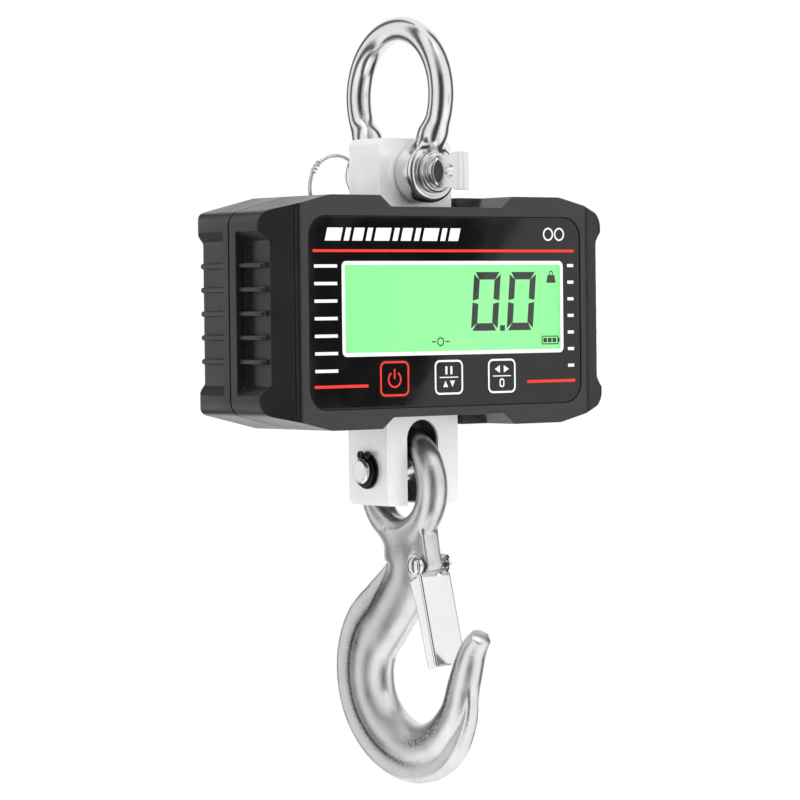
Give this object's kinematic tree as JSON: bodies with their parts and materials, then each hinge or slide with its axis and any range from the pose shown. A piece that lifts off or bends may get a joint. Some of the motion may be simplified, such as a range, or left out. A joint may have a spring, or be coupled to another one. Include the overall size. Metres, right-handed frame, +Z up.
{
  "type": "crane scale",
  "caption": "Hanging digital crane scale: bow shackle, S-beam load cell, black two-part housing with lit display and keys, clevis pin and eye hook with spring latch.",
  "frame": {"origin": "the suspension point: the crown of the shackle bow's inner side, where a crane hook bears", "axes": "+Z up along the load line, the display faces -Y, +X to the right of the display"},
  "size_m": [0.2084, 0.1138, 0.3681],
  "materials": {
    "polished_steel": "polished, softly brushed",
    "galvanised_forging": "hot-dip galvanised drop forging, fine grain",
    "stainless_sheet": "bright rolled sheet",
    "zinc_screw": "bright zinc",
    "milled_aluminium": "fine milled, satin",
    "black_housing": "fine spark-eroded texture",
    "black_gloss_panel": "gloss overlay, printed from behind",
    "clear_window": "clear gloss",
    "lit_display": "backlit green liquid crystal",
    "white_plastic": "plain",
    "circuit_board": "solder mask",
    "black_component": "moulded",
    "battery_wrap": "shrink film",
    "gauge_foil": "foil on polyimide",
    "black_rubber": "matte",
    "black_spring_steel": "black phosphated and oiled"
  },
  "bodies": {
    "shackle": {"shackle_bow": "polished_steel", "shackle_pin": "polished_steel"},
    "safety_ring": {"safety_ring": "polished_steel"},
    "scale_body": {"load_cell": "milled_aluminium", "strain_gauge_front": "gauge_foil", "strain_gauge_rear": "gauge_foil", "gauge_cover_front": "stainless_sheet", "gauge_cover_rear": "stainless_sheet", "cell_bracket": "stainless_sheet", "cell_screw_1": "zinc_screw", "cell_screw_2": "zinc_screw", "bracket_screw_1": "zinc_screw", "bracket_screw_2": "zinc_screw", "front_shell": "black_housing", "rear_shell": "black_housing", "seam_gasket_left": "black_rubber", "seam_gasket_right": "black_rubber", "upper_seal": "black_rubber", "lower_seal": "black_rubber", "shell_screw_1": "zinc_screw", "shell_screw_2": "zinc_screw", "shell_screw_3": "zinc_screw", "shell_screw_4": "zinc_screw", "face_panel": "black_gloss_panel", "display_window": "clear_window", "display_glass": "lit_display", "backlight": "white_plastic", "display_holder": "white_plastic", "main_board": "circuit_board", "board_screw_1": "zinc_screw", "board_screw_2": "zinc_screw", "board_screw_3": "zinc_screw", "board_screw_4": "zinc_screw", "power_switch": "black_component", "hold_switch": "black_component", "tare_switch": "black_component", "buzzer": "black_component", "battery_pack": "battery_wrap", "battery_door": "black_housing", "door_gasket": "black_rubber", "door_screw_1": "zinc_screw", "door_screw_2": "zinc_screw", "door_screw_3": "zinc_screw", "door_screw_4": "zinc_screw", "charge_jack": "black_component", "pin_washer_left": "black_spring_steel", "pin_washer_right": "black_spring_steel"},
    "power_key": {"power_key": "black_gloss_panel"},
    "hold_key": {"hold_key": "black_gloss_panel"},
    "tare_key": {"tare_key": "black_gloss_panel"},
    "port_cap": {"charge_port_cap": "black_rubber"},
    "clevis_pin_set": {"clevis_pin": "polished_steel", "circlip_left": "black_spring_steel", "circlip_right": "black_spring_steel"},
    "hook": {"hook": "galvanised_forging", "latch_pin": "polished_steel"},
    "latch": {"latch": "stainless_sheet", "latch_spring": "polished_steel"}
  },
  "joints": [
    {"name": "scale_swing", "type": "hinge", "parent": "shackle", "child": "scale_body", "pos_m": [0, 0, -0.0632], "axis": [0, 1, 0], "range_deg": [-90, 90]},
    {"name": "safety_ring_swing", "type": "hinge", "parent": "shackle", "child": "safety_ring", "pos_m": [0, 0.0315, -0.0632], "axis": [0.3714, 0, -0.9285], "range_deg": [0, 150]},
    {"name": "power_key_press", "type": "slide", "parent": "scale_body", "child": "power_key", "axis": [0, 1, 0], "range_m": [0, 0.0005], "stiffness_N_per_m": 1500, "springref_m": -0.0005},
    {"name": "hold_key_press", "type": "slide", "parent": "scale_body", "child": "hold_key", "axis": [0, 1, 0], "range_m": [0, 0.0005], "stiffness_N_per_m": 1500, "springref_m": -0.0005},
    {"name": "tare_key_press", "type": "slide", "parent": "scale_body", "child": "tare_key", "axis": [0, 1, 0], "range_m": [0, 0.0005], "stiffness_N_per_m": 1500, "springref_m": -0.0005},
    {"name": "port_cap_open", "type": "hinge", "parent": "scale_body", "child": "port_cap", "pos_m": [-0.06, 0.024, -0.137], "axis": [1, 0, 0], "range_deg": [0, 120]},
    {"name": "clevis_pin_turn", "type": "hinge", "parent": "scale_body", "child": "clevis_pin_set", "pos_m": [0, 0, -0.205], "axis": [1, 0, 0], "continuous": true},
    {"name": "hook_swing", "type": "hinge", "parent": "scale_body", "child": "hook", "pos_m": [0, 0, -0.205], "axis": [1, 0, 0], "range_deg": [-45, 45]},
    {"name": "latch_open", "type": "hinge", "parent": "hook", "child": "latch", "pos_m": [0, -0.019, -0.2502], "axis": [1, 0, 0], "range_deg": [0, 34], "stiffness_Nm_per_rad": 0.05, "springref_deg": -28.65}
  ]
}
